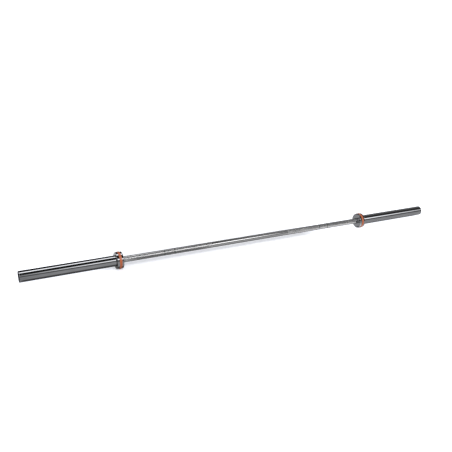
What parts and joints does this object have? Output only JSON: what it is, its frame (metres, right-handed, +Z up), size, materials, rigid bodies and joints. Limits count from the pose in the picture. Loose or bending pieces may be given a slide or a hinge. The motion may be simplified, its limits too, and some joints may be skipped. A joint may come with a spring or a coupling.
{
  "type": "olympic barbell",
  "caption": "Straight steel weightlifting bar: knurled shaft, chromed sleeves that spin on needle bearings, and collars with a coloured band that stop the weight plates.",
  "frame": {"origin": "middle of the bar, on its axis", "axes": "+X along the bar from the left sleeve to the right one, +Z up, +Y away from the viewer of the picture"},
  "size_m": [2.2, 0.079, 0.079],
  "materials": {
    "shaft_chrome": "bright chrome, diamond knurl either side of a smooth middle",
    "sleeve_chrome": "polished hard chrome",
    "collar_chrome": "polished hard chrome",
    "orange_band": "satin copper-orange urethane",
    "seal_rubber": "matt black",
    "bronze": "turned bronze",
    "bearing_steel": "ground bearing steel",
    "spring_steel": "phosphated spring steel",
    "end_cap_black": "black oxide"
  },
  "bodies": {
    "shaft_unit": {"shaft": "shaft_chrome", "left_inner_thrust_washer": "bronze", "left_outer_thrust_washer": "bronze", "left_shaft_retaining_ring": "spring_steel", "right_inner_thrust_washer": "bronze", "right_outer_thrust_washer": "bronze", "right_shaft_retaining_ring": "spring_steel"},
    "left_inner_cage_unit": {"left_inner_bearing_cage": "bearing_steel", "left_inner_bearing_needles": "bearing_steel"},
    "left_outer_cage_unit": {"left_outer_bearing_cage": "bearing_steel", "left_outer_bearing_needles": "bearing_steel"},
    "left_sleeve_unit": {"left_sleeve": "sleeve_chrome", "left_collar": "collar_chrome", "left_collar_band": "orange_band", "left_dust_seal": "seal_rubber", "left_inner_bushing": "bronze", "left_inner_bearing_cup": "bearing_steel", "left_outer_bushing": "bronze", "left_outer_bearing_cup": "bearing_steel", "left_end_cap": "end_cap_black", "left_cap_retaining_ring": "spring_steel"},
    "right_inner_cage_unit": {"right_inner_bearing_cage": "bearing_steel", "right_inner_bearing_needles": "bearing_steel"},
    "right_outer_cage_unit": {"right_outer_bearing_cage": "bearing_steel", "right_outer_bearing_needles": "bearing_steel"},
    "right_sleeve_unit": {"right_sleeve": "sleeve_chrome", "right_collar": "collar_chrome", "right_collar_band": "orange_band", "right_dust_seal": "seal_rubber", "right_inner_bushing": "bronze", "right_inner_bearing_cup": "bearing_steel", "right_outer_bushing": "bronze", "right_outer_bearing_cup": "bearing_steel", "right_end_cap": "end_cap_black", "right_cap_retaining_ring": "spring_steel"}
  },
  "joints": [
    {"name": "left_sleeve_spin", "type": "hinge", "parent": "shaft_unit", "child": "left_sleeve_unit", "pos_m": [-0.8775, 0, 0], "axis": [1, 0, 0], "continuous": true},
    {"name": "left_inner_cage_spin", "type": "hinge", "parent": "shaft_unit", "child": "left_inner_cage_unit", "pos_m": [-0.7003, 0, 0], "axis": [1, 0, 0], "continuous": true},
    {"name": "left_outer_cage_spin", "type": "hinge", "parent": "shaft_unit", "child": "left_outer_cage_unit", "pos_m": [-1.0475, 0, 0], "axis": [1, 0, 0], "continuous": true},
    {"name": "right_sleeve_spin", "type": "hinge", "parent": "shaft_unit", "child": "right_sleeve_unit", "pos_m": [0.8775, 0, 0], "axis": [1, 0, 0], "continuous": true},
    {"name": "right_inner_cage_spin", "type": "hinge", "parent": "shaft_unit", "child": "right_inner_cage_unit", "pos_m": [0.7003, 0, 0], "axis": [1, 0, 0], "continuous": true},
    {"name": "right_outer_cage_spin", "type": "hinge", "parent": "shaft_unit", "child": "right_outer_cage_unit", "pos_m": [1.0475, 0, 0], "axis": [1, 0, 0], "continuous": true}
  ],
  "couplings": [
    {"joint": "left_inner_cage_spin", "follows": "left_sleeve_spin", "ratio": 0.54644},
    {"joint": "left_outer_cage_spin", "follows": "left_sleeve_spin", "ratio": 0.54644},
    {"joint": "right_inner_cage_spin", "follows": "right_sleeve_spin", "ratio": 0.54644},
    {"joint": "right_outer_cage_spin", "follows": "right_sleeve_spin", "ratio": 0.54644}
  ]
}
